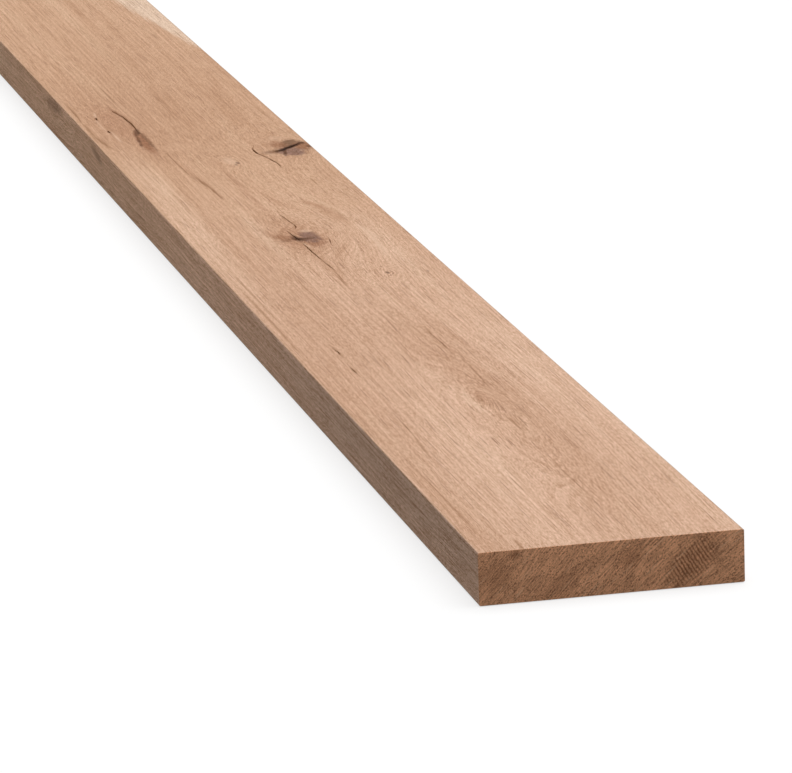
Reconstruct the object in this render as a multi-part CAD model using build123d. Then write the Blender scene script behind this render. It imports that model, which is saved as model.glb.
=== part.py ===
# A planed oak plank, lying flat with its best face up.
# X runs along the plank with the photographed end at +X, Y runs across it, and Z is up from the underside.
import os
from math import hypot

from build123d import *

# Stock size of the plank
plank_length = 2000
plank_width = 100
plank_thickness = 20

# The four long arrises are broken with one stroke of the plane, and both ends are left as the saw cut them
arris_radius = 0.6

# Drying checks: the width of a check at the top face and its depth, both where it gapes most
knot_check_width = 1.8
knot_check_depth = 6
arm_check_width = 1.1
arm_check_depth = 4
ring_check_width = 1.0
ring_check_depth = 2.5
hair_check_width = 0.7
hair_check_depth = 1.5

# The line of each check, from point to point along it: share of the length from the photographed end,
# share of the width from the middle line (positive towards +Y), and share of the gape there.
# A gape of nothing is where the check closes.

# The knot in the middle of the plank is split across, with an arm running out along the grain on each side
middle_knot_split_shares = [
    (0.2748, 0.088, 0),
    (0.2743, 0.050, 0.6),
    (0.2742, 0.012, 0.9),
    (0.2745, -0.012, 1),
    (0.2746, -0.045, 0.6),
    (0.2751, -0.082, 0),
]
middle_knot_near_arm_shares = [
    (0.2390, 0.009, 0),
    (0.2510, -0.002, 0.5),
    (0.2610, -0.008, 1),
    (0.2665, -0.009, 0.7),
    (0.2720, -0.010, 0),
]
middle_knot_far_arm_shares = [
    (0.2722, -0.008, 0),
    (0.2755, -0.014, 0.9),
    (0.2805, -0.019, 0.7),
    (0.2855, -0.025, 0),
]
middle_knot_far_hair_shares = [
    (0.2850, 0.021, 0),
    (0.2900, 0.039, 0.9),
    (0.2935, 0.033, 1),
    (0.3010, 0.021, 0.6),
    (0.3110, 0.025, 0),
]
middle_knot_upper_hair_shares = [
    (0.2665, 0.109, 0),
    (0.2705, 0.120, 1),
    (0.2750, 0.130, 0),
]

# The knot at the +Y edge is split along its own axis, with a curved check under it where the grain turns round it
edge_knot_split_shares = [
    (0.3847, 0.466, 0),
    (0.3826, 0.436, 0.7),
    (0.3811, 0.410, 1),
    (0.3789, 0.367, 1),
    (0.3768, 0.337, 0.9),
    (0.3758, 0.295, 0.4),
    (0.3750, 0.262, 0),
]
edge_knot_ring_shares = [
    (0.3545, 0.250, 0),
    (0.3610, 0.254, 0.6),
    (0.3678, 0.238, 0.7),
    (0.3725, 0.216, 1),
    (0.3785, 0.203, 1),
    (0.3825, 0.217, 0.6),
    (0.3880, 0.243, 0),
]

# The knot near the -Y edge shows its bark ring as an arched check, and two small pits lie outside the arch
side_knot_ring_shares = [
    (0.4120, -0.250, 0),
    (0.4190, -0.244, 0.8),
    (0.4255, -0.244, 0.8),
    (0.4335, -0.248, 0.8),
    (0.4400, -0.267, 1),
    (0.4455, -0.279, 0),
]
side_knot_near_pit_shares = [
    (0.4140, -0.383, 0),
    (0.4160, -0.386, 1),
    (0.4185, -0.388, 0),
]
side_knot_far_pit_shares = [
    (0.4320, -0.390, 0),
    (0.4345, -0.386, 1),
    (0.4370, -0.380, 0),
]

# Short hairline checks in one line along the -Y third
near_hair_shares = [
    (0.0900, -0.326, 0),
    (0.0950, -0.327, 1),
    (0.0990, -0.329, 0),
]
second_hair_shares = [
    (0.1420, -0.319, 0),
    (0.1450, -0.321, 1),
    (0.1480, -0.321, 0),
]
third_hair_shares = [
    (0.1585, -0.314, 0),
    (0.1620, -0.312, 1),
    (0.1670, -0.318, 0),
]

# Each check with its gape and depth
checks = [
    (middle_knot_split_shares, knot_check_width, knot_check_depth),
    (middle_knot_near_arm_shares, arm_check_width, arm_check_depth),
    (middle_knot_far_arm_shares, arm_check_width, arm_check_depth),
    (middle_knot_far_hair_shares, hair_check_width, hair_check_depth),
    (middle_knot_upper_hair_shares, hair_check_width, hair_check_depth),
    (edge_knot_split_shares, knot_check_width, knot_check_depth),
    (edge_knot_ring_shares, ring_check_width, ring_check_depth),
    (side_knot_ring_shares, ring_check_width, ring_check_depth),
    (side_knot_near_pit_shares, ring_check_width, ring_check_depth),
    (side_knot_far_pit_shares, ring_check_width, ring_check_depth),
    (near_hair_shares, hair_check_width, hair_check_depth),
    (second_hair_shares, hair_check_width, hair_check_depth),
    (third_hair_shares, hair_check_width, hair_check_depth),
]

# The cutter of a check stands proud of the face by this share of its depth, so that its mouth is cut clean
proud_share = 0.2


def check_wedge(line_shares, mouth_width, depth):
    """A wedge with a V section that follows the line of a check and closes to a point at both ends."""
    line = []
    for along_share, across_share, gape_share in line_shares:
        x = plank_length / 2 - along_share * plank_length
        y = across_share * plank_width
        line.append((x, y, gape_share))

    # At each point the V stands square to the line of the check: two rims and the keel
    rings = []
    for before, here, after in zip(line, line[1:], line[2:]):
        run_x = after[0] - before[0]
        run_y = after[1] - before[1]
        run = hypot(run_x, run_y)
        half_mouth = mouth_width * here[2] * (1 + proud_share) / 2
        side_x = -run_y / run * half_mouth
        side_y = run_x / run * half_mouth
        rim = plank_thickness + depth * here[2] * proud_share
        keel = plank_thickness - depth * here[2]
        left_rim = (here[0] + side_x, here[1] + side_y, rim)
        right_rim = (here[0] - side_x, here[1] - side_y, rim)
        bottom = (here[0], here[1], keel)
        rings.append([left_rim, right_rim, bottom])

    # Flat facets join each V to the next one, and the first and last V to the closed ends
    start = (line[0][0], line[0][1], plank_thickness)
    end = (line[-1][0], line[-1][1], plank_thickness)
    facets = []
    for corner in range(3):
        beside = (corner + 1) % 3
        facets.append([start, rings[0][corner], rings[0][beside]])
        for ring, following in zip(rings, rings[1:]):
            facets.append([ring[corner], following[corner], following[beside]])
            facets.append([ring[corner], following[beside], ring[beside]])
        facets.append([end, rings[-1][beside], rings[-1][corner]])
    return Solid(Shell([Face(Wire.make_polygon(facet)) for facet in facets]))


# The sawn and planed board
plank = Box(plank_length, plank_width, plank_thickness, align=(Align.CENTER, Align.CENTER, Align.MIN))
plank = fillet(plank.edges().filter_by(Axis.X), arris_radius)

# The checks that drying has opened in the top face
for line_shares, mouth_width, depth in checks:
    plank = plank - check_wedge(line_shares, mouth_width, depth)

os.makedirs("parts", exist_ok=True)
export_step(plank, "parts/plank.step")
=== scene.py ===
import math
import random
from types import SimpleNamespace

import bmesh
import bpy
from mathutils import Matrix, Vector


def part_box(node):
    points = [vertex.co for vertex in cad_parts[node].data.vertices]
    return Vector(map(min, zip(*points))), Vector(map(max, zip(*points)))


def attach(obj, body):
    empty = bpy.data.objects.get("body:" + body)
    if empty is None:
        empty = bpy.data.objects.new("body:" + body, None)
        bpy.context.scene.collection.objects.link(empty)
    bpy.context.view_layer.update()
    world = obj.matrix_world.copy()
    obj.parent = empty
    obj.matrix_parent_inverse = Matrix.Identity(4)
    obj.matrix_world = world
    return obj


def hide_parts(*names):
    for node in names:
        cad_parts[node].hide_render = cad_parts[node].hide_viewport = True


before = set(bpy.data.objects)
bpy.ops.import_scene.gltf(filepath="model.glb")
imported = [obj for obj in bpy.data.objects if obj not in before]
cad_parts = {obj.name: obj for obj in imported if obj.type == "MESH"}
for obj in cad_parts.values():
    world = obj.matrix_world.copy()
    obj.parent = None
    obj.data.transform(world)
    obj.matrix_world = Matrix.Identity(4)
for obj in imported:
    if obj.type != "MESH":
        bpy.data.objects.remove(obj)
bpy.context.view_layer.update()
low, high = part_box("plank")

# Sizes of the board, in millimetres
MM = 0.001
LENGTH = (high[0] - low[0]) / MM
WIDTH = (high[1] - low[1]) / MM
THICKNESS = (high[2] - low[2]) / MM
HALF = WIDTH / 2

# How far the long arrises and the rims of the ends are eased, and in how many steps
ARRIS = 0.6
ARRIS_STEPS = 4
END_ARRIS = 0.15
END_ARRIS_STEPS = 2
ROUND_PROFILE = 0.5

# The block is cut into even sections along its length. Two places closer than this, in metres, are the
# same, and a face whose normal leans less than this towards an end runs along the board
SECTIONS = 20
SAME_PLACE = 1e-6
LEAN = 0.1

# Drying checks: which way each runs, its gape and its depth where it is widest, how brown its rim is and how
# much painted shade darkens its walls, and the line it follows: from the near end, off the middle line, share
# of the gape
CHECKS = {
    "middle_split": ("across", 1.8, 6.0, 0.5, 0.7, [
        (549.6, 8.8, 0), (548.6, 5.0, 0.3), (548.4, 1.2, 0.8), (549.0, -1.2, 1), (549.2, -4.5, 0.3),
        (550.2, -8.2, 0)]),
    "middle_near_arm": ("along", 0.5, 2.5, 0.45, 0.3, [
        (474.0, 1.1, 0), (484.0, 0.7, 0.6), (502.0, -0.2, 0.65), (522.0, -0.8, 1), (533.0, -0.9, 0.6),
        (544.0, -1.0, 0)]),
    "middle_far_arm": ("along", 0.8, 3.0, 0.2, 0.4, [
        (544.4, -0.8, 0), (551.0, -1.4, 0.9), (561.0, -1.9, 0.7), (571.0, -2.5, 0)]),
    "middle_far_hair": ("along", 0.6, 1.2, 0.4, 0.1, [
        (570.0, 2.1, 0), (575.0, 3.3, 0.7), (580.0, 3.9, 0.9), (587.0, 3.3, 1), (602.0, 2.1, 0.6),
        (622.0, 2.5, 0)]),
    "middle_upper_hair": ("along", 0.4, 1.0, 0.25, 0.1, [
        (533.0, 10.9, 0), (541.0, 12.0, 1), (550.0, 13.0, 0)]),
    "edge_split": ("across", 1.8, 6.0, 0.8, 0.9, [
        (769.4, 46.6, 0), (765.2, 43.6, 0.7), (762.2, 41.0, 1), (757.8, 36.7, 1), (753.6, 33.7, 0.8),
        (751.6, 29.5, 0.32), (750.0, 26.2, 0)]),
    "edge_ring": ("along", 0.9, 1.6, 0.58, 0.1, [
        (709.0, 25.0, 0), (722.0, 25.4, 0.6), (735.6, 23.8, 0.7), (745.0, 21.9, 1), (751.0, 21.0, 1),
        (757.0, 20.6, 1), (762.0, 20.8, 0.8), (776.0, 24.3, 0)]),
    "side_ring": ("along", 0.7, 1.3, 0.32, 0.1, [
        (824.0, -25.0, 0), (838.0, -24.4, 0.8), (851.0, -24.4, 0.8), (867.0, -24.8, 0.8), (880.0, -26.7, 1),
        (891.0, -27.9, 0)]),
    "side_near_pit": ("along", 1.0, 2.5, 0.5, 0.5, [
        (828.0, -38.3, 0), (832.0, -38.6, 1), (837.0, -38.8, 0)]),
    "side_far_pit": ("along", 1.0, 2.5, 0.5, 0.5, [
        (864.0, -39.0, 0), (869.0, -38.6, 1), (874.0, -38.0, 0)]),
    "near_hair": ("along", 0.5, 1.0, 0.3, 0.1, [
        (180.0, -32.6, 0), (190.0, -32.7, 1), (198.0, -32.9, 0)]),
    "second_hair": ("along", 0.5, 1.0, 0.25, 0.1, [
        (284.0, -31.9, 0), (290.0, -32.1, 1), (296.0, -32.1, 0)]),
    "third_hair": ("along", 0.5, 1.0, 0.25, 0.1, [
        (317.0, -31.4, 0), (324.0, -31.2, 1), (334.0, -31.8, 0)]),
}

# A check gets a station every few millimetres. Each strays by up to a share of its gape there, and swells
# or narrows a little against the one before it, between a least share and the full gape. The seed makes
# the strays the same each time
STATION_STEP = 3.0
STATION_STRAY = 0.25
SWELL_START = 0.8
SWELL_LEAST = 0.45
SWELL_STEP = 0.3
SEED = 7

# The wedge that cuts a check stands proud of the top face by a share of its depth, is closed at this share
# of its gape, and has points closer than this merged
PROUD = 0.2
CLOSED = 0.0005
MERGE = 0.01


def spot(along, across, up=THICKNESS):
    """A place on the plank, from the near end, from the middle line and from the underside."""
    return Vector((high[0] - along * MM, (low[1] + high[1]) / 2 + across * MM, low[2] + up * MM))


def pick_only(thing):
    bpy.ops.object.select_all(action="DESELECT")
    thing.select_set(True)
    bpy.context.view_layer.objects.active = thing


def pick_edges(thing, wanted):
    bpy.ops.mesh.select_all(action="DESELECT")
    mesh = bmesh.from_edit_mesh(thing.data)
    for edge in mesh.edges:
        if wanted(edge.verts[0].co, edge.verts[1].co):
            edge.select_set(True)
    bmesh.update_edit_mesh(thing.data)


def pick_faces(thing, wanted):
    bpy.ops.mesh.select_all(action="DESELECT")
    mesh = bmesh.from_edit_mesh(thing.data)
    for face in mesh.faces:
        if wanted(face.calc_center_median(), face.normal):
            face.select_set(True)
    bmesh.update_edit_mesh(thing.data)


def ease(width, steps):
    """Rounds the picked edges."""
    bpy.ops.mesh.bevel(offset=width * MM, segments=steps, profile=ROUND_PROFILE, affect="EDGES")


def saw_board():
    """A block at the plank's size, with eased arrises and end rims, cut into even sections."""
    bpy.ops.object.select_all(action="DESELECT")
    bpy.ops.mesh.primitive_cube_add(size=1, location=spot(LENGTH / 2, 0, THICKNESS / 2))
    board = bpy.context.object
    board.name = "oak_plank"
    bpy.ops.transform.resize(value=(LENGTH * MM, WIDTH * MM, THICKNESS * MM))
    bpy.ops.object.transform_apply(location=True, rotation=True, scale=True)
    bpy.ops.object.mode_set(mode="EDIT")
    bpy.ops.mesh.select_mode(type="EDGE")
    pick_edges(board, lambda a, b: abs(a.x - b.x) > LENGTH * MM / 2)
    ease(ARRIS, ARRIS_STEPS)
    for place in (high[0], low[0]):
        pick_edges(board, lambda a, b: abs(a.x - place) < SAME_PLACE and abs(b.x - place) < SAME_PLACE)
        ease(END_ARRIS, END_ARRIS_STEPS)
    for step in range(1, SECTIONS):
        bpy.ops.mesh.select_all(action="SELECT")
        bpy.ops.mesh.bisect(plane_co=spot(LENGTH * step / SECTIONS, 0), plane_no=(1, 0, 0))
    bpy.ops.object.mode_set(mode="OBJECT")
    return board


def finer(stations, chance):
    """The line of a check with a station every few millimetres, each a little off, as wood splits."""
    points = []
    swell = SWELL_START
    for (u0, v0, g0), (u1, v1, g1) in zip(stations, stations[1:]):
        parts = max(1, round(math.hypot(u1 - u0, v1 - v0) / STATION_STEP))
        for part in range(parts):
            share = part / parts
            gape = g0 + (g1 - g0) * share
            stray = STATION_STRAY * gape
            along = u0 + (u1 - u0) * share + chance.uniform(-stray, stray)
            across = v0 + (v1 - v0) * share + chance.uniform(-stray, stray)
            swell = min(1.0, max(SWELL_LEAST, swell + chance.uniform(-SWELL_STEP, SWELL_STEP)))
            points.append((along, across, gape * swell))
    points.append(stations[-1])
    return points


def split_wedge(name, runs, gape, depth, line):
    """A wedge with a V section, pulled from station to station along a check and closed at both ends."""
    half = gape / 2 * (1 + PROUD) * MM
    side = Vector((0, half, 0)) if runs == "along" else Vector((half, 0, 0))
    rise = Vector((0, 0, depth * PROUD * MM))
    keel = Vector((0, 0, -depth * MM))
    bpy.ops.object.select_all(action="DESELECT")
    bpy.ops.mesh.primitive_circle_add(vertices=3, radius=1, fill_type="NGON", location=(0, 0, 0))
    wedge = bpy.context.object
    wedge.name = name
    bpy.ops.object.mode_set(mode="EDIT")
    bpy.ops.mesh.select_mode(type="FACE")
    mesh = bmesh.from_edit_mesh(wedge.data)
    for vert, corner in zip(mesh.verts, (side + rise, keel, rise - side)):
        vert.co = corner
    bmesh.update_edit_mesh(wedge.data)
    bpy.ops.mesh.select_all(action="SELECT")
    bpy.ops.transform.resize(value=(CLOSED,) * 3, center_override=(0, 0, 0))
    bpy.ops.transform.translate(value=spot(line[0][0], line[0][1]))
    before = (line[0][0], line[0][1], CLOSED)
    for along, across, open_share in line[1:]:
        here = (along, across, max(open_share, CLOSED))
        move = spot(here[0], here[1]) - spot(before[0], before[1])
        bpy.ops.mesh.extrude_region_move(TRANSFORM_OT_translate={"value": move})
        bpy.ops.transform.resize(value=(here[2] / before[2],) * 3, center_override=spot(here[0], here[1]))
        before = here
    bpy.ops.mesh.select_all(action="SELECT")
    bpy.ops.mesh.remove_doubles(threshold=MERGE * MM)
    bpy.ops.mesh.normals_make_consistent(inside=False)
    bpy.ops.object.mode_set(mode="OBJECT")
    return wedge


def open_check(board, name, runs, gape, depth, line):
    """Cuts one check into the board."""
    wedge = split_wedge(name, runs, gape, depth, line)
    pick_only(board)
    cut = board.modifiers.new(name, "BOOLEAN")
    cut.operation = "DIFFERENCE"
    cut.solver = "EXACT"
    cut.object = wedge
    bpy.ops.object.modifier_apply(modifier=name)
    bpy.data.objects.remove(wedge, do_unlink=True)


def smooth_arrises(board):
    pick_only(board)
    bpy.ops.object.shade_flat()
    bpy.ops.object.mode_set(mode="EDIT")
    bpy.ops.mesh.select_mode(type="FACE")
    rim = ARRIS * MM
    pick_faces(board, lambda centre, normal: (
        min(centre.y - low[1], high[1] - centre.y) < rim and min(centre.z - low[2], high[2] - centre.z) < rim
        and abs(normal.x) < LEAN))
    bpy.ops.mesh.faces_shade_smooth()
    bpy.ops.object.mode_set(mode="OBJECT")


# One square sheet on which every face of the board lies flat, for its colours to be kept on: how tall the
# rows of each long face are, how large an end is, and the gap between them, in steps of the sheet. A face
# that looks at least this straight out of an end belongs to it
SHEET = 1024
SHEET_ROWS = [("top", 240), ("under", 110), ("left", 44), ("right", 44)]
SHEET_END = (400, 80)
SHEET_GAP = 6
FACING = 0.7


def face_of(centre, normal):
    """Which face of the board a patch belongs to. The walls of a check go with the top."""
    if abs(normal.x) > FACING and min(centre.x - low[0], high[0] - centre.x) < MM:
        return "end"
    if min(centre.y - low[1], high[1] - centre.y) < ARRIS * MM and abs(normal.y) > abs(normal.z):
        return "left" if normal.y < 0 else "right"
    if centre.z - low[2] < ARRIS * MM and normal.z < 0:
        return "under"
    return "top"


def lay_flat(board):
    """The board's faces on the sheet: two rows for each long face, half the length in each, then the ends."""
    rows = {}
    row = SHEET_GAP
    for face, tall in SHEET_ROWS:
        for half in ("near", "far"):
            rows[face, half] = (row, tall)
            row += tall + SHEET_GAP
    sheet = board.data.uv_layers.new(name="OFBake")
    for patch in board.data.polygons:
        face = face_of(patch.center, patch.normal)
        half = "near" if patch.center.x > 0 else "far"
        for corner in patch.loop_indices:
            place = board.data.vertices[board.data.loops[corner].vertex_index].co
            along = (high[0] - place.x) / (high[0] - low[0])
            across = (place.y - low[1]) / (high[1] - low[1])
            up = (place.z - low[2]) / (high[2] - low[2])
            if face == "end":
                start = SHEET_GAP if half == "near" else SHEET_GAP * 2 + SHEET_END[0]
                flat = (start + across * SHEET_END[0], row + up * SHEET_END[1])
            else:
                start, tall = rows[face, half]
                run = along * 2 if half == "near" else along * 2 - 1
                rise = up if face in ("left", "right") else across
                flat = (SHEET_GAP + run * (SHEET - SHEET_GAP * 2), start + rise * tall)
            sheet.data[corner].uv = (flat[0] / SHEET, flat[1] / SHEET)


chance = random.Random(SEED)
LINES = {name: finer(check[-1], chance) for name, check in CHECKS.items()}
board = saw_board()
for name, (runs, gape, depth, *_) in CHECKS.items():
    open_check(board, name, runs, gape, depth, LINES[name])
smooth_arrises(board)
lay_flat(board)


# How a colour that the eye names turns to light: straight up to the knee, and by a power above it
FULL_TONE = 255
TONE_KNEE = 0.04045
TONE_SLOPE = 12.92
TONE_LIFT = 0.055
TONE_POWER = 2.4


def tone(red, green, blue):
    """A colour as the eye names it, 0 to 255, turned to the light it gives back."""
    def light(part):
        part = part / FULL_TONE
        if part <= TONE_KNEE:
            return part / TONE_SLOPE
        return ((part + TONE_LIFT) / (1 + TONE_LIFT)) ** TONE_POWER
    return (light(red), light(green), light(blue), 1)


# Which sockets of a mix hold its share, its two colours and its result
MIX_SHARE = 0
MIX_UNDER = 6
MIX_OVER = 7
MIX_RESULT = 2


class Field:
    """A number or a colour that changes through the wood."""

    def __init__(self, recipe, socket):
        self.recipe = recipe
        self.socket = socket

    def __add__(self, other):
        return self.recipe.math("ADD", self, other)

    __radd__ = __add__

    def __sub__(self, other):
        return self.recipe.math("SUBTRACT", self, other)

    def __rsub__(self, other):
        return self.recipe.math("SUBTRACT", other, self)

    def __mul__(self, other):
        return self.recipe.math("MULTIPLY", self, other)

    def __truediv__(self, other):
        return self.recipe.math("DIVIDE", self, other)

    def __rtruediv__(self, other):
        return self.recipe.math("DIVIDE", other, self)


class Recipe:
    """The nodes of one finish, of the wood, the floor or the light."""

    def __init__(self, tree):
        self.tree = tree
        self.tree.nodes.clear()

    def node(self, kind, settings=None, inputs=None):
        made = self.tree.nodes.new(kind)
        for key, value in (settings or {}).items():
            setattr(made, key, value)
        for key, value in (inputs or {}).items():
            self.feed(made.inputs[key], value)
        return made

    def feed(self, socket, value):
        if isinstance(value, Field):
            self.tree.links.new(value.socket, socket)
        else:
            socket.default_value = value

    def math(self, operation, *values, clamp=False):
        made = self.node("ShaderNodeMath", {"operation": operation, "use_clamp": clamp})
        for socket, value in zip(made.inputs, values):
            self.feed(socket, value)
        return Field(self, made.outputs[0])

    def larger(self, one, other):
        return other if one is None else self.math("MAXIMUM", one, other)

    def point(self, x, y, z):
        made = self.node("ShaderNodeCombineXYZ", None, {0: x, 1: y, 2: z})
        return Field(self, made.outputs[0])

    def tint(self, red, green, blue):
        made = self.node("ShaderNodeCombineColor", None, {0: red, 1: green, 2: blue})
        return Field(self, made.outputs[0])

    def noise(self, x, y, z, detail=1.0, rough=0.5):
        made = self.node("ShaderNodeTexNoise", {"noise_dimensions": "3D"}, {
            "Vector": self.point(x, y, z), "Scale": 1.0, "Detail": detail, "Roughness": rough})
        return Field(self, made.outputs["Fac"])

    def cells(self, x, y, z):
        """Scattered seeds: the distance to the nearest one and a number of its own."""
        made = self.node("ShaderNodeTexVoronoi", {"voronoi_dimensions": "3D", "feature": "F1"}, {
            "Vector": self.point(x, y, z), "Scale": 1.0})
        pick = self.node("ShaderNodeSeparateColor", None, {"Color": Field(self, made.outputs["Color"])})
        return Field(self, made.outputs["Distance"]), Field(self, pick.outputs[0])

    def ramp(self, value, start, end, first=0.0, last=1.0):
        made = self.node("ShaderNodeMapRange", {"interpolation_type": "SMOOTHSTEP"}, {
            "Value": value, "From Min": start, "From Max": end, "To Min": first, "To Max": last})
        return Field(self, made.outputs[0])

    def share(self, value, start, end):
        made = self.node("ShaderNodeMapRange", {"interpolation_type": "LINEAR", "clamp": True}, {
            "Value": value, "From Min": start, "From Max": end})
        return Field(self, made.outputs[0])

    def curve(self, value, points):
        """A number read off a line drawn through points, from 0 to 1 both ways."""
        made = self.node("ShaderNodeFloatCurve", None, {"Value": value})
        line = made.mapping.curves[0]
        for place in points[2:]:
            line.points.new(*place)
        for handle, place in zip(line.points, points):
            handle.location = place
            handle.handle_type = "VECTOR"
        made.mapping.update()
        return Field(self, made.outputs[0])

    def oval(self, place, centre, reach, slant):
        """How far a place is from the middle of an oval, with 1 at its rim. A place's third number is 1."""
        square = None
        for half, turn in zip(reach, (slant, slant + math.pi / 2)):
            way = Vector((math.cos(turn), math.sin(turn))) / half
            row = (way.x, way.y, -way.dot(Vector(centre)))
            made = self.node("ShaderNodeVectorMath", {"operation": "DOT_PRODUCT"}, {0: place, 1: row})
            step = Field(self, made.outputs["Value"])
            square = step * step if square is None else self.math("MULTIPLY_ADD", step, step, square)
        return self.math("SQRT", square)

    def mix(self, share, under, over, blend="MIX"):
        made = self.node("ShaderNodeMix", {"data_type": "RGBA", "blend_type": blend, "clamp_factor": True})
        self.feed(made.inputs[MIX_SHARE], share)
        self.feed(made.inputs[MIX_UNDER], under)
        self.feed(made.inputs[MIX_OVER], over)
        return Field(self, made.outputs[MIX_RESULT])


# How the board was sawn: the rays of the tree cross the end face at this slant, up to the bark on the
# right, and the heart of the tree lay this far off. A growth ring is this wide
SLANT = math.radians(42)
OUT = math.cos(SLANT)
ROUND = math.sin(SLANT)
HEART = 400.0
RING = 2.0

# Branches that grew through the board: from the near end, off the middle line at the top face, reach along
# the grain, girth, how far they push the fibres aside and how far they lift the rings. Fibres are lifted
# too, but never further than this
FIBRE_LIFT = 4
BRANCHES = [
    (229, 7, 30, 5, 0.6, 4),
    (180, 13, 150, 13, 0.3, 32),
    (549, 1, 34, 7, 0.7, 7),
    (568, 15, 62, 13, 0.35, 28),
    (762, 39, 36, 10, 0.8, 12),
    (845, -33, 50, 8, 0.7, 5),
    (733, 6, 20, 5, 0.6, 4),
    (466, 24, 14, 3.5, 0.5, 3),
]

# Colours of the wood in plain daylight
HEARTWOOD = tone(213, 174, 147)
PALE = tone(225, 190, 163)
TAN = tone(186, 143, 113)
FAR_TINT = (0.90, 0.86, 0.79, 1)
PORE = tone(134, 92, 66)
SAP = tone(226, 198, 174)
# Painted shade: the near-black of the walls inside the checks
SPLIT_SHADE = tone(46, 22, 8)
END = tone(221, 163, 124)
END_PORE = tone(90, 56, 36)
END_RAY = tone(238, 194, 158)
END_RING = tone(112, 69, 42)
RUST = tone(174, 128, 99)
KNOT_RED = tone(151, 105, 76)
# This grey also paints the shade along the right rim of the top face
KNOT_GREY_AND_RIM_SHADE = tone(137, 103, 87)
KNOT_BROWN = tone(124, 91, 67)
KNOT_DARK = tone(82, 49, 28)

# Lighter and darker wood, and the stains of the knots, which follow the branches down through the board:
# from the near end, off the middle line at the top face, half length, half width, slant in degrees, soft
# rim, strength, colour
STAINS = [
    (140, 15, 200, 10, 0, 0.8, 0.40, TAN),
    (120, -52, 390, 17, -1.5, 0.6, 0.50, TAN),
    (120, -20, 200, 9, 0, 0.8, 0.15, PALE),
    (370, -30, 150, 14, 0, 0.8, 0.40, TAN),
    (300, 40, 90, 8, 0, 0.8, 0.30, PALE),
    (525, 34, 60, 6, 0, 0.8, 0.35, PALE),
    (620, -42, 165, 7, 0.5, 0.7, 0.42, PALE),
    (690, 42, 30, 4, 0, 0.8, 0.28, RUST),
    (340, 4, 60, 16, 0, 0.8, 0.42, TAN),
    (237, 9, 40, 7.5, 1, 0.6, 0.30, TAN),
    (229, 6.5, 11, 3.2, 0, 0.5, 0.20, RUST),
    (222, 0.8, 22, 2.2, 0, 0.6, 0.35, PALE),
    (484, 0.2, 44, 2.6, 0.5, 0.7, 0.55, TAN),
    (660, -2.8, 68, 1.5, 0, 0.7, 0.33, RUST),
    (692, -17.6, 56, 1.8, -2.8, 0.7, 0.45, TAN),
    (560, -14.5, 34, 3.4, 0, 0.7, 0.55, PALE),
    (552, -1, 42, 13, 0, 0.7, 0.55, TAN),
    (549, 1, 24, 9, 0, 0.6, 0.45, RUST),
    (598, 25.2, 24, 3.0, -8, 0.6, 0.60, TAN),
    (621, 21, 12, 2.6, -23, 0.6, 0.60, TAN),
    (560, -10.5, 13, 3.6, -17, 0.6, 0.30, RUST),
    (538.5, 5.6, 10, 4.2, 8, 0.45, 0.56, KNOT_RED),
    (552.5, -5.8, 9, 4.6, -15, 0.45, 0.50, KNOT_RED),
    (547, -6.0, 3, 4.4, -5, 0.5, 0.32, KNOT_BROWN),
    (551.5, 5.0, 12, 4.6, 0, 0.30, 0.95, KNOT_GREY_AND_RIM_SHADE),
    (550, -1.2, 7, 1.8, -4, 0.6, 0.80, KNOT_DARK),
    (760, 36, 36, 16, 0, 0.6, 0.45, TAN),
    (751.5, 29.5, 4, 6.5, -20, 0.45, 0.60, KNOT_BROWN),
    (750.5, 37.8, 11, 6.8, 0, 0.30, 0.95, KNOT_GREY_AND_RIM_SHADE),
    (769.5, 41.2, 10, 5.0, 10, 0.35, 0.95, KNOT_BROWN),
    (762, 46, 9, 4.5, 0, 0.40, 0.92, KNOT_RED),
    (768, 34.8, 8, 4.2, 0, 0.50, 0.70, KNOT_RED),
    (769, 46.2, 3, 1.8, 0, 0.5, 0.85, KNOT_DARK),
    (759, 48.4, 2.5, 1.6, 0, 0.5, 0.60, KNOT_DARK),
    (748.5, 34.3, 8, 0.9, 10, 0.5, 0.85, KNOT_DARK),
    (800, -12, 90, 24, 0, 0.8, 0.20, TAN),
    (930, 0, 130, 50, 0, 0.8, 0.28, TAN),
    (840, -34, 90, 16, 0, 0.7, 0.55, TAN),
    (852, -32.5, 42, 5.6, 0, 0.5, 0.42, RUST),
    (849, -24.6, 18, 1.2, 0, 0.5, 0.70, KNOT_RED),
    (878, -26.0, 15, 1.3, -7, 0.5, 0.70, KNOT_RED),
    (788, -26.4, 20, 2.7, 1, 0.6, 0.65, KNOT_RED),
    (806, -26.3, 25, 3.2, 2, 0.35, 0.90, KNOT_RED),
    (803, -24.2, 24, 0.9, 0, 0.5, 0.60, KNOT_BROWN),
    (826, -25.4, 8, 1.4, 6, 0.5, 0.70, KNOT_DARK),
    (804, -28.5, 18, 0.8, 5, 0.5, 0.50, KNOT_DARK),
    (466, 22, 2.4, 0.8, 0, 0.5, 0.65, KNOT_DARK),
    (463, 39.6, 2.0, 0.6, 0, 0.5, 0.45, KNOT_DARK),
    (731, 7.1, 2.6, 1.0, 0, 0.4, 0.70, KNOT_DARK),
    (727, 5.6, 2.0, 0.8, 0, 0.4, 0.50, KNOT_DARK),
]

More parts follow.
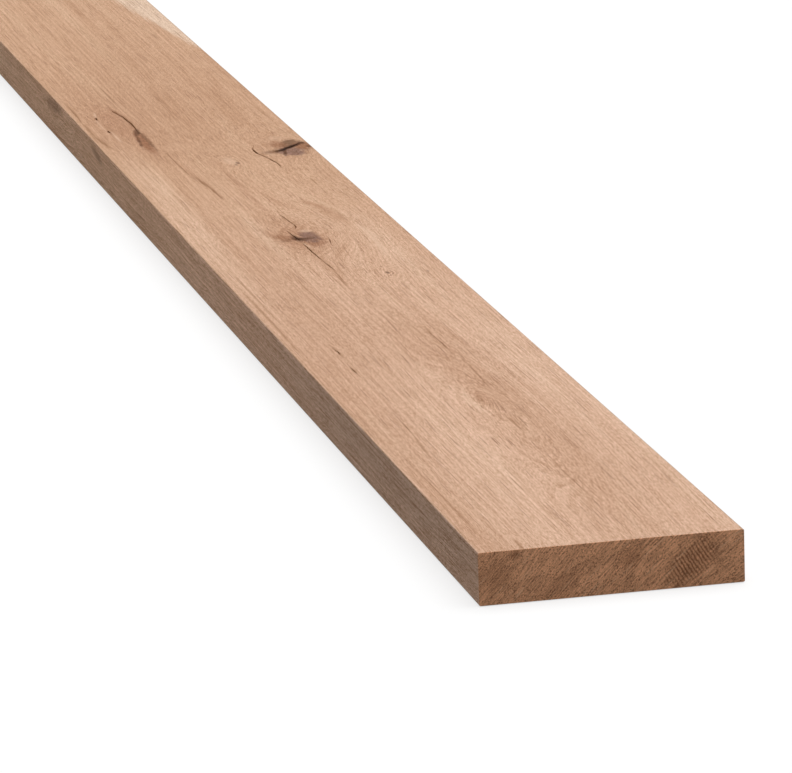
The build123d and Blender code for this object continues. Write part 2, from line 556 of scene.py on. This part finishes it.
# Dark streaks in the top face, where a vessel or a gum line was planed open: from the near end, off the
# middle line, half length, half width, slant in degrees, strength
STREAKS = [
    (93, 8.6, 26, 0.35, 0, 0.24),
    (184, 9.0, 16, 0.35, 0, 0.26),
    (228, 16.7, 28, 0.35, 0, 0.12),
    (270, 14.7, 27, 0.35, 1.5, 0.32),
    (333, 13.3, 23, 0.40, 0, 0.36),
    (226, 6.2, 5, 0.5, 8, 0.20),
    (223, 4.9, 4, 0.4, -6, 0.20),
    (165, -33.4, 20, 0.5, 2, 0.24),
    (190, -32.8, 10, 0.6, 0, 0.28),
    (290, -32.0, 8, 0.6, -1, 0.28),
    (325, -31.4, 10, 0.6, -1, 0.28),
    (7, -33.0, 7, 0.5, 0, 0.28),
    (60, -44.0, 60, 0.5, 0, 0.16),
    (385, -46.5, 60, 0.7, 0.5, 0.24),
    (440, -43.5, 40, 0.5, 0, 0.20),
    (462, -0.1, 20, 0.4, 2, 0.24),
    (664, -16.7, 15, 0.6, -1.6, 0.40),
    (694, -18.1, 24, 0.5, -3.2, 0.36),
    (698, -3.3, 18, 0.4, 0, 0.28),
    (738, -21.0, 30, 0.45, -1, 0.32),
    (674, 33.0, 9, 0.4, 0, 0.28),
    (930, -22.0, 22, 0.4, 0, 0.24),
    (938, -26.0, 20, 0.4, 1, 0.24),
    (806, -46.4, 18, 0.8, -5, 0.32),
    (842, -47.4, 22, 0.8, 1, 0.28),
    (882, -46.9, 30, 0.7, 1, 0.32),
]

# Pale flecks in the top face, where the grain lips over: the same numbers
FLECKS = [
    (210, 2.2, 10, 1.0, -8, 0.45),
    (222, 0.9, 9, 1.1, 0, 0.5),
    (236, 1.8, 12, 1.0, 8, 0.45),
    (533, 0.2, 6, 0.5, -4, 0.5),
    (530, 31.5, 28, 1.3, 3, 0.5),
    (552, 33, 16, 1.2, -6, 0.5),
    (565, 5.5, 3, 2.6, 0, 0.4),
    (818, -37.4, 13, 0.6, -1, 0.6),
    (850, -39.6, 14, 0.5, 0, 0.5),
    (877, -37.8, 8, 0.6, 4, 0.5),
    (736, 4.4, 9, 2.6, 0, 0.4),
    (785, 37, 5, 4.0, 0, 0.25),
    (745, 27, 4, 1.4, -20, 0.2),
]

# Dark patches in the left side: from the near end, up from the underside, half length, half height, slant
# in degrees, strength
SIDE_PATCHES = [
    (803, 14.3, 15, 2.2, 5, 0.6),
    (933, 15.8, 26, 3.2, -3, 0.6),
]

# The sawn end has a darker band between two rays: off the middle line, up from the underside, half length,
# half width. Its darker spots have the same numbers and a strength
END_BAND = (30.0, 9.5, 13.0, 6.5)
END_SPOTS = [
    (-36, 18, 2.2, 1.8, 0.6),
    (7, 13, 5.5, 4.0, 0.35),
    (-45, 11, 7.0, 7.0, 0.30),
    (-20, 5, 9.0, 4.0, 0.25),
]

# Sapwood: where it enters at the right edge, where it is widest, how wide it gets, how far outside the edge
# it starts, how ragged and how soft its rim is, and how strong it is
SAP_START = 985.0
SAP_FULL = 1250.0
SAP_WIDTH = 18.0
SAP_OUTSIDE = 1.0
SAP_RAGGED = 10.0
SAP_SOFT = 2.0
SAP_STRENGTH = 0.85

# How far the dark of a check bleeds into the wood: along the grain from one that runs across it, and across
# the grain from one that runs along it. Then the share of that where the dark is full, and how far open a
# check is where its dark starts, and where it is full as a share of its gape
BLEED = {"across": 3.4, "along": 0.45}
BLEED_FULL = 0.3
OPEN_START = 0.02
OPEN_FULL = 0.3

# A noise swings about this number. Its detail and roughness make it sharp, wiry or crumbly
NOISE_MEAN = 0.5
SHARP = (1.0, 0.8)
WIRY = (2.0, 0.7)
CRUMBLY = (2.0, 0.6)

# The slow wander of the wood round the heart and out from it: how long and how broad a wave is, where the
# second one starts, so that the two aren't alike, and how far they go
DRIFT = (340.0, 90.0)
SWAY = (260.0, 70.0)
SWAY_START = 37.0
WANDER = 6.0

# Growth rings vary: over what distance outward and along, and by how many rings. Then the shares of a ring
# between which the dark late wood comes in and goes out, and how much of a ring is dark
RING_CHANGE = (9.0, 500.0)
RING_VARY = 1.4
LATE_IN = (0.1, 0.85)
LATE_OUT = (1.0, 0.93)
LATE_MEAN = 0.4

# Fibres: how long each kind is, and how many lie side by side in a millimetre
FINE_FIBRES = (24.0, 3.5)
SHORT_FIBRES = (3.0, 3.4)
LONG_FIBRES = (160.0, 3.0)

# Lines that keep to one ring: how long, how broad, and how many in a millimetre outward. Then how long and
# how broad the bands, the ragged bits of a rim, the crumbs in a knot and the broad change of colour are
RING_LINES = (160.0, 14.0, 1.8)
BANDS = (90.0, 1.4)
RAGS = (9.0, 2.2)
CRUMBS = (4.0, 2.6)
BROAD = (260.0, 8.0)

# Scattered marks: how far apart they are along, round the tree and outward, how far from its middle a mark
# starts and is full, and which of them show faintly and which fully. Then how strong the rays and dots of
# the sawn ends are
VESSELS = ((55.0, 0.65, 0.65), (0.32, 0.14), (0.2, 0.4))
END_RAYS = ((9.0, 0.7, 14.0), (0.36, 0.14), (0.3, 0.5))
END_DOTS = ((24.0, 0.45, 1.0), (0.5, 0.18), (0.1, 0.5))
RAY_SHARE = 0.45
DOT_SHARE = 0.85

# Vessels thin out between these shares of a ring, down to this much in late wood
VESSEL_SEASON = (0.75, 0.15)
VESSEL_LATE = 0.4

# Where the broad change of colour turns dark and where it turns pale, how strong both are, and where along
# the board the wood gets browner
TURN_DARK = (0.52, 0.8)
TURN_PALE = (0.48, 0.22)
TURN_STRENGTH = 0.4
BROWNER = (300.0, 800.0)

# Stains: how ragged and how crumbly their rims are, how mottled a knot is, how strong a stain is that
# belongs to a knot, and how far in from the left edge they fade
STAIN_RAGGED = 0.8
STAIN_CRUMBLY = 0.7
KNOT_MOTTLED = 0.9
KNOT_STRENGTH = 0.7
STAIN_FADE = 1.5

# Patches of the left side: how far in they end, and between which shares of their reach they fade
PATCH_DEPTH = (3.0, 0.5)
PATCH_RIM = (1.4, 0.4)

# How strong each part of the grain is on the top face
FINE_SHARE = 0.3
FLECK_SHARE = 1.16
HAIR_SHARE = 0.54
LINES_SHARE = 0.14
BANDS_SHARE = 0.1
LATE_SHARE = 0.08
PORE_SHARE = 0.74

# What the sides add to that, the right one and the left one, with less of it for the fine fibres, and how
# far in from the edges the sides begin
RIGHT_ROUGH = -0.1
LEFT_ROUGH = 0.7
FINE_ROUGH = 0.7
SIDE_START = (0.24, 0.1)

# Dark grain is browner too: how much further green and blue swing than red
GREEN_SWING = 1.28
BLUE_SWING = 1.6

# Painted light and shade on the sides: they are painted lighter than the top, and painted with shade near the
# end, deepest towards the top and less towards the underside. How much painted light, how far along the
# painted shade goes, between which heights it changes, and how dark it is there
SIDE_PAINTED_LIGHT = 0.12
SIDE_SHADE_ALONG = (180.0, 480.0)
SIDE_SHADE_UP = (14.0, 0.0)
SIDE_PAINTED_SHADE = (-0.32, -0.18)

# The long rims of the top face, with a painted highlight at the left and painted shade at the right: how deep
# they go, how strong they are, and how far in from the edges they start and end
PAINTED_RIM_DEPTH = (1.5, 1.0)
PAINTED_RIM_STRENGTH = 0.4
HIGHLIGHT_IN = (0.6, 0.4)
HIGHLIGHT_OUT = (0.2, 0.3)
RIM_SHADE_IN = (0.8, 0.4)

# Stained wood is browner: the powers by which green and blue fall behind red
SOAK_GREEN = 1.25
SOAK_BLUE = 1.6

# Streaks and flecks: between which shares of their reach they fade, how far the grain moves them, and how
# deep they and the checks go. The walls of a check get painted shade from just below the top face
LINE_RIM = (1.5, 0.5)
LINE_STRAY = 2.5
LINE_DEPTH = (5.0, 3.0)
CHECK_DEPTH = (9.0, 7.0)
WALL_SHADE_DEPTH = (0.05, 0.6)

# The sawn ends: how deep their pattern reaches, the breadth and height of streaks and of broader mottling,
# the depth of the grit and how many grains lie in a millimetre, how strong all three are, the light between
# them, and how far in from the end the sawn wood fades and is full
END_REACH = 60.0
STREAK_SIZE = (0.42, 7.0)
MOTTLE_SIZE = (5.0, 12.0)
GRIT_REACH = 3.0
GRIT_COUNT = 2.2
STREAK_SHARE = 2.1
MOTTLE_SHARE = 0.5
GRIT_SHARE = 1.6
END_LIGHT = 0.99
END_DEPTH = (0.25, 0.1)

# How the spots and the band of the ends fade, and the rings in the band: their step, how wavy and how
# gritty they are, between which shares of a ring they come in and go out, and how dark they get between
# two levels of that
SPOT_RIM = (1.5, 0.3)
BAND_RIM = (1.4, 0.4)
BAND_RING = 1.35
WAVE_SIZE = 1.6
WAVE_SHARE = 0.9
RING_GRIT = 0.8
RING_IN = (0.15, 0.6)
RING_OUT = (1.0, 0.75)
RING_LEVELS = (0.3, 1.0)
RING_STRENGTH = (0.2, 0.75)

# The planed surface: how strong and how deep its bumps are, how much of them is fibres, how matt it is,
# what vessels and fibres add to that, and how glossy it is
BUMP_STRENGTH = 0.35
BUMP_DEPTH = 0.3
BUMP_FIBRES = 0.5
MATT = 0.7
MATT_PORES = 0.15
MATT_FIBRES = 0.3
GLOSS = 0.06


def fibres(r, t, kind):
    """Fibres of one kind, as a number that swings about nothing."""
    length, count = kind
    return r.noise(t.along / length, t.round_tree * count, t.fibre * count, *SHARP) - NOISE_MEAN


def scattered(r, t, outward, kind):
    """Small marks that lie scattered through the wood."""
    (length, breadth, depth), rim, shown = kind
    far, own = r.cells(t.along / length, t.round_tree / breadth, outward / depth)
    return r.ramp(far, *rim) * r.ramp(own, *shown)


def from_left(r, t, start, end):
    """Nothing this far in from the left edge and full that far in."""
    return r.ramp(t.across, start - HALF, end - HALF)


def below_top(r, t, start, end, strength=1.0):
    """Nothing this far below the top face and full that far below it."""
    return r.ramp(t.up, THICKNESS - start, THICKNESS - end, 0.0, strength)


def grow_tree(r):
    """Where each place of the board lay in the tree, and what grew there."""
    t = SimpleNamespace()
    place = r.node("ShaderNodeTexCoord")
    parts = r.node("ShaderNodeSeparateXYZ", None, {0: Field(r, place.outputs["Object"])})
    t.x, y, z = (Field(r, out) for out in parts.outputs)
    t.along = (high[0] - t.x) / MM
    t.across = y / MM
    t.up = z / MM

    # Round the heart of the tree and out from it, after the branches pushed by
    drift = r.noise(t.along / DRIFT[0], t.across / DRIFT[1], t.up / DRIFT[1])
    sway = r.noise(t.along / SWAY[0] + SWAY_START, t.across / SWAY[1], t.up / SWAY[1])
    heart_y = t.across + HEART * OUT
    heart_z = t.up + (HEART * ROUND - THICKNESS / 2)
    turn = (r.math("ARCTAN2", heart_z, heart_y) - SLANT) * HEART
    far_out = r.math("SQRT", heart_y * heart_y + heart_z * heart_z) - HEART
    t.round_tree = turn + (drift - NOISE_MEAN) * WANDER
    t.outward = far_out + (sway - NOISE_MEAN) * WANDER
    t.fibre = t.outward
    for at, off, reach, girth, press, swell in BRANCHES:
        centre = THICKNESS / 2 * OUT - off * ROUND
        du = (t.along - float(at)) / float(reach)
        dt = (turn - centre) / float(girth)
        near = 1.0 / (du * du + dt * dt + 1.0)
        t.round_tree = t.round_tree - dt * near * (girth * press)
        t.outward = t.outward - near * near * float(swell)
        t.fibre = t.fibre - near * near * float(min(swell, FIBRE_LIFT))

    # Growth rings, with the light early wood first
    vary = r.noise(t.outward / RING_CHANGE[0], t.along / RING_CHANGE[1], 0.0)
    t.season = r.math("FRACT", t.outward / RING + vary * RING_VARY)
    t.late = r.ramp(t.season, *LATE_IN) * r.ramp(t.season, *LATE_OUT)

    # Fibres of three lengths, lines that keep to one ring, broader bands, and what makes a rim ragged
    t.fine = fibres(r, t, FINE_FIBRES)
    t.fleck = fibres(r, t, SHORT_FIBRES)
    t.hair = fibres(r, t, LONG_FIBRES)
    length, breadth, count = RING_LINES
    t.lines = r.noise(t.along / length, t.round_tree / breadth, t.outward * count, *WIRY) - NOISE_MEAN
    length, breadth = BANDS
    t.mid = r.noise(t.along / length, t.round_tree / breadth, t.outward / breadth, *CRUMBLY) - NOISE_MEAN
    length, breadth = RAGS
    t.ragged = r.noise(t.along / length, t.across / breadth, t.up / breadth, *CRUMBLY) - NOISE_MEAN

    # Vessels, planed open as thin dashes
    t.pore = scattered(r, t, t.fibre, VESSELS) * r.ramp(t.season, *VESSEL_SEASON, VESSEL_LATE, 1.0)
    return t


def clean_wood(r, t):
    """Heartwood in broad light and dark bands, browner further off, with sapwood at the far right edge."""
    length, breadth = BROAD
    broad = r.noise(t.along / length, t.round_tree / breadth, t.outward / breadth)
    colour = r.mix(r.ramp(broad, *TURN_DARK, 0.0, TURN_STRENGTH), HEARTWOOD, TAN)
    colour = r.mix(r.ramp(broad, *TURN_PALE, 0.0, TURN_STRENGTH), colour, PALE)
    colour = r.mix(r.ramp(t.along, *BROWNER), colour, FAR_TINT, "MULTIPLY")
    sap_edge = r.ramp(t.along, SAP_START, SAP_FULL, HALF + SAP_OUTSIDE, HALF - SAP_WIDTH)
    sap_place = t.across + (t.up - THICKNESS) * (ROUND / OUT) + t.mid * SAP_RAGGED
    return r.mix(r.ramp(sap_place - sap_edge, -SAP_SOFT, SAP_SOFT, 0.0, SAP_STRENGTH), colour, SAP)


def stain_knots(r, t, colour):
    """The knots and what they coloured, with crumbly rims and a mottled inside."""
    length, breadth = CRUMBS
    crumb = r.noise(t.along / length, t.across / breadth, t.up / breadth, *CRUMBLY) - NOISE_MEAN
    rough_rim = t.ragged * STAIN_RAGGED + crumb * STAIN_CRUMBLY
    face_place = r.point(t.along, t.across + (THICKNESS - t.up) * (OUT / ROUND), 1.0)
    plain = colour
    knot = None
    for at, off, reach, girth, slant, soft, strength, stain in STAINS:
        far = r.oval(face_place, (at, off), (reach, girth), math.radians(slant)) + rough_rim
        mask = r.ramp(far, 1.0 + soft, 1.0 - soft, 0.0, strength)
        colour = r.mix(mask, colour, stain)
        if strength > KNOT_STRENGTH:
            knot = r.larger(knot, mask)
    shade = 1.0 + crumb * KNOT_MOTTLED
    colour = r.mix(knot, colour, r.tint(shade, shade, shade), "MULTIPLY")
    colour = r.mix(from_left(r, t, 0.0, STAIN_FADE), plain, colour)
    side_place = r.point(t.along, t.up, 1.0)
    left = from_left(r, t, *PATCH_DEPTH)
    for at, height, reach, girth, slant, strength in SIDE_PATCHES:
        far = r.oval(side_place, (at, height), (reach, girth), math.radians(slant)) + rough_rim
        colour = r.mix(r.ramp(far, *PATCH_RIM, 0.0, strength) * left, colour, KNOT_BROWN)
    return colour


def draw_grain(r, t, colour):
    """Fibres, rings and open vessels, rougher on the left side. Both sides are painted lighter, with painted
    shade near the end, and the top face gets a painted highlight at its left rim and painted shade at its
    right rim.
    """
    edge = r.math("ABSOLUTE", t.across)
    side = r.ramp(edge, HALF - SIDE_START[0], HALF - SIDE_START[1])
    rough = side * r.ramp(t.across, 0.0, -HALF, RIGHT_ROUGH, LEFT_ROUGH)
    swing = t.fine * (rough * FINE_ROUGH + FINE_SHARE)
    swing = swing + t.fleck * (rough + FLECK_SHARE)
    swing = swing + t.hair * (rough + HAIR_SHARE)
    swing = swing + t.lines * LINES_SHARE + t.mid * BANDS_SHARE - (t.late - LATE_MEAN) * LATE_SHARE
    # Painted light over the sides, and painted shade near the end that is deepest towards the top
    near_end_shade = r.ramp(t.along, *SIDE_SHADE_ALONG, 1.0, 0.0)
    side_light_and_shade = near_end_shade * r.ramp(t.up, *SIDE_SHADE_UP, *SIDE_PAINTED_SHADE) + SIDE_PAINTED_LIGHT
    painted_side_gain = side * side_light_and_shade + 1.0
    red = (swing + 1.0) * painted_side_gain
    green = (swing * GREEN_SWING + 1.0) * painted_side_gain
    blue = (swing * BLUE_SWING + 1.0) * painted_side_gain
    colour = r.mix(1.0, colour, r.tint(red, green, blue), "MULTIPLY")
    colour = r.mix(t.pore * PORE_SHARE, colour, PORE)
    # Painted highlight along the left rim of the top face, and painted shade along the right rim in the grey
    # of the knots
    rim = below_top(r, t, *PAINTED_RIM_DEPTH, PAINTED_RIM_STRENGTH)
    painted_highlight = from_left(r, t, *HIGHLIGHT_IN) * from_left(r, t, *HIGHLIGHT_OUT)
    colour = r.mix(painted_highlight * rim, colour, PALE)
    return r.mix(r.ramp(t.across, HALF - RIM_SHADE_IN[0], HALF - RIM_SHADE_IN[1]) * rim, colour, KNOT_GREY_AND_RIM_SHADE)


def soak(r, colour, shade):
    """Wood that took up a stain: the deeper it is, the browner it looks."""
    keep = 1.0 - shade
    green = r.math("POWER", keep, SOAK_GREEN)
    blue = r.math("POWER", keep, SOAK_BLUE)
    return r.mix(1.0, colour, r.tint(keep, green, blue), "MULTIPLY")


def line_marks(r, t, place, marks):
    """One mask of many long thin marks."""
    mask = None
    for at, off, reach, girth, slant, strength in marks:
        far = r.oval(place, (at, off), (reach, girth), math.radians(slant)) + t.ragged
        mask = r.larger(mask, r.ramp(far, *LINE_RIM, 0.0, strength))
    return mask


def check_mark(r, t, name):
    """The brown rim of one check and the painted shade on its walls, along the same line as its cut, with a
    ragged rim where it bleeds.
    """
    runs, gape, _, rim, dark, _ = CHECKS[name]
    bleed = BLEED[runs]
    way, off = (t.along, t.across) if runs == "along" else (t.across, t.along)
    line = sorted((u, v, g) if runs == "along" else (v, u, g) for u, v, g in LINES[name])
    start = line[0][0]
    run = line[-1][0] - start
    least = min(place[1] for place in line)
    span = max(place[1] for place in line) - least
    share = r.share(way, start, start + run)
    centre = r.curve(share, [((place[0] - start) / run, (place[1] - least) / span) for place in line])
    half = r.curve(share, [((place[0] - start) / run, place[2]) for place in line]) * (gape / 2)
    away = r.math("ABSOLUTE", off - r.math("MULTIPLY_ADD", centre, span, least)) - half
    mark = r.ramp(away + t.ragged * bleed, bleed, bleed * BLEED_FULL)
    mark = mark * r.ramp(half, OPEN_START, gape * OPEN_FULL)
    return mark * rim, mark * dark


def draw_lines(r, t, colour):
    """Streaks, flecks and checks of the top face, the checks with painted shade on their walls."""
    near_top = below_top(r, t, *LINE_DEPTH)
    place = r.point(t.along, t.across + t.mid * LINE_STRAY, 1.0)
    colour = soak(r, colour, line_marks(r, t, place, STREAKS) * near_top)
    colour = r.mix(line_marks(r, t, place, FLECKS) * near_top, colour, PALE)
    rims = None
    painted_wall_shade = None
    for name in CHECKS:
        rim, wall_shade = check_mark(r, t, name)
        rims = r.larger(rims, rim)
        painted_wall_shade = r.larger(painted_wall_shade, wall_shade)
    reach = below_top(r, t, *CHECK_DEPTH)
    colour = soak(r, colour, rims * reach)
    # Painted shade on the walls of the checks
    return r.mix(painted_wall_shade * reach * below_top(r, t, *WALL_SHADE_DEPTH), colour, SPLIT_SHADE)


def saw_ends(r, t, colour):
    """Sawn ends, which drink the light: dots of vessels, pale rays and a darker band where the rings show."""
    place = r.point(t.across, t.up, 1.0)
    breadth, height = STREAK_SIZE
    streak = r.noise(t.along / END_REACH, t.round_tree / breadth, t.outward / height, *WIRY) - NOISE_MEAN
    breadth, height = MOTTLE_SIZE
    mottle = r.noise(t.along / END_REACH, t.round_tree / breadth, t.outward / height) - NOISE_MEAN
    grit = r.noise(t.along / GRIT_REACH, t.across * GRIT_COUNT, t.up * GRIT_COUNT, *SHARP) - NOISE_MEAN
    light = streak * STREAK_SHARE + mottle * MOTTLE_SHARE + grit * GRIT_SHARE + END_LIGHT
    wood = r.mix(1.0, END, r.tint(light, light, light), "MULTIPLY")
    for off, up, reach, girth, strength in END_SPOTS:
        far = r.oval(place, (off, up), (reach, girth), SLANT) + grit + streak
        wood = r.mix(r.ramp(far, *SPOT_RIM, 0.0, strength), wood, END_RING)
    off, up, reach, girth = END_BAND
    band = r.ramp(r.oval(place, (off, up), (reach, girth), SLANT) + streak, *BAND_RIM)
    wave = r.noise(t.along / END_REACH, t.across / WAVE_SIZE, t.up / WAVE_SIZE) - NOISE_MEAN
    season = r.math("FRACT", t.outward / BAND_RING + wave * WAVE_SHARE)
    ring = r.ramp(season, *RING_IN) * r.ramp(season, *RING_OUT)
    wood = r.mix(band * r.ramp(ring + grit * RING_GRIT, *RING_LEVELS, *RING_STRENGTH), wood, END_RING)
    wood = r.mix(scattered(r, t, t.outward, END_RAYS) * RAY_SHARE, wood, END_RAY)
    wood = r.mix(scattered(r, t, t.outward, END_DOTS) * DOT_SHARE, wood, END_PORE)
    end = r.ramp(r.math("ABSOLUTE", t.x), high[0] - END_DEPTH[0] * MM, high[0] - END_DEPTH[1] * MM)
    return r.mix(end, colour, wood)


def oak():
    """Solid oak: the same tree runs through every face of the board."""
    material = bpy.data.materials.new("planed_oak")
    material.use_nodes = True
    r = Recipe(material.node_tree)
    t = grow_tree(r)
    colour = clean_wood(r, t)
    colour = stain_knots(r, t, colour)
    colour = draw_grain(r, t, colour)
    colour = draw_lines(r, t, colour)
    colour = saw_ends(r, t, colour)

    # Open vessels catch no light and lie a hair below the planed face
    bump = r.node("ShaderNodeBump", None, {
        "Strength": BUMP_STRENGTH, "Distance": BUMP_DEPTH * MM, "Height": t.fine * BUMP_FIBRES - t.pore})
    surface = r.node("ShaderNodeBsdfPrincipled", None, {
        "Base Color": colour, "Roughness": t.pore * MATT_PORES + t.fine * MATT_FIBRES + MATT,
        "Specular IOR Level": GLOSS})
    r.tree.links.new(bump.outputs[0], surface.inputs["Normal"])
    out = r.node("ShaderNodeOutputMaterial")
    r.tree.links.new(surface.outputs[0], out.inputs[0])
    return material


board.data.materials.clear()
board.data.materials.append(oak())
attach(board, "root")
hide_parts("plank")

# The floor lies a hair below the board, and looks as white as the sky behind it
FLOOR_SIZE = 400
FLOOR_GAP = 0.3
FLOOR_SHADE = 0.3
FLOOR_WHITE = 1.02

# Light from all round, and a broad soft lamp overhead: its strength, its spread and its tilt in degrees,
# and where it hangs
SKY = 0.36
SUN = 0.66
SUN_SPREAD = 60
SUN_TILT = (-14, -6)
SUN_HEIGHT = 4

# The camera, at the photograph's viewing angle
CAMERA_LENS = 255.559
CAMERA_SENSOR = 36
CAMERA_NEAR = 0.05
CAMERA_FAR = 1000
CAMERA_PLACE = (2.905582, -0.496755, 0.560871)
CAMERA_RIGHT = (0.22191068, 0.97455951, -0.03145495)
CAMERA_UP = (-0.2246541, 0.08249268, 0.97094052)


def seen_directly(r):
    """1 where the camera looks straight at it or sees it mirrored or through glass, and 0 for its light."""
    path = r.node("ShaderNodeLightPath")
    seen = Field(r, path.outputs["Is Camera Ray"]) + Field(r, path.outputs["Is Glossy Ray"])
    return r.math("ADD", seen, Field(r, path.outputs["Is Transmission Ray"]), clamp=True)


def lay_floor():
    bpy.ops.object.select_all(action="DESELECT")
    bpy.ops.mesh.primitive_plane_add(size=FLOOR_SIZE, location=(0, 0, low[2] - FLOOR_GAP * MM))
    floor = bpy.context.object
    floor.name = "studio_floor"
    material = bpy.data.materials.new("pale_floor")
    material.use_nodes = True
    r = Recipe(material.node_tree)
    matt = r.node("ShaderNodeBsdfDiffuse", None, {"Color": (FLOOR_SHADE, FLOOR_SHADE, FLOOR_SHADE, 1)})
    glow = r.node("ShaderNodeEmission", None, {"Strength": seen_directly(r) * (FLOOR_WHITE - FLOOR_SHADE)})
    both = r.node("ShaderNodeAddShader")
    r.tree.links.new(matt.outputs[0], both.inputs[0])
    r.tree.links.new(glow.outputs[0], both.inputs[1])
    out = r.node("ShaderNodeOutputMaterial")
    r.tree.links.new(both.outputs[0], out.inputs[0])
    floor.data.materials.append(material)


def light_studio():
    world = bpy.data.worlds.new("studio")
    bpy.context.scene.world = world
    world.use_nodes = True
    r = Recipe(world.node_tree)
    back = r.node("ShaderNodeBackground", None, {
        "Color": (1, 1, 1, 1), "Strength": seen_directly(r) * (1 - SKY) + SKY})
    out = r.node("ShaderNodeOutputWorld")
    r.tree.links.new(back.outputs[0], out.inputs[0])
    tilt = [math.radians(angle) for angle in SUN_TILT]
    bpy.ops.object.light_add(type="SUN", location=(0, 0, SUN_HEIGHT), rotation=(tilt[0], tilt[1], 0))
    lamp = bpy.context.object
    lamp.name = "overhead"
    lamp.data.energy = SUN * math.pi
    lamp.data.angle = math.radians(SUN_SPREAD)


def set_camera():
    bpy.ops.object.camera_add()
    camera = bpy.context.object
    camera.name = "camera"
    camera.data.lens = CAMERA_LENS
    camera.data.sensor_width = CAMERA_SENSOR
    camera.data.clip_start = CAMERA_NEAR
    camera.data.clip_end = CAMERA_FAR
    right = Vector(CAMERA_RIGHT)
    upward = Vector(CAMERA_UP)
    turn = Matrix((right, upward, right.cross(upward))).transposed().to_4x4()
    camera.matrix_world = Matrix.Translation(CAMERA_PLACE) @ turn
    bpy.context.scene.camera = camera


lay_floor()
light_studio()
set_camera()
bpy.context.scene.view_settings.view_transform = "Standard"
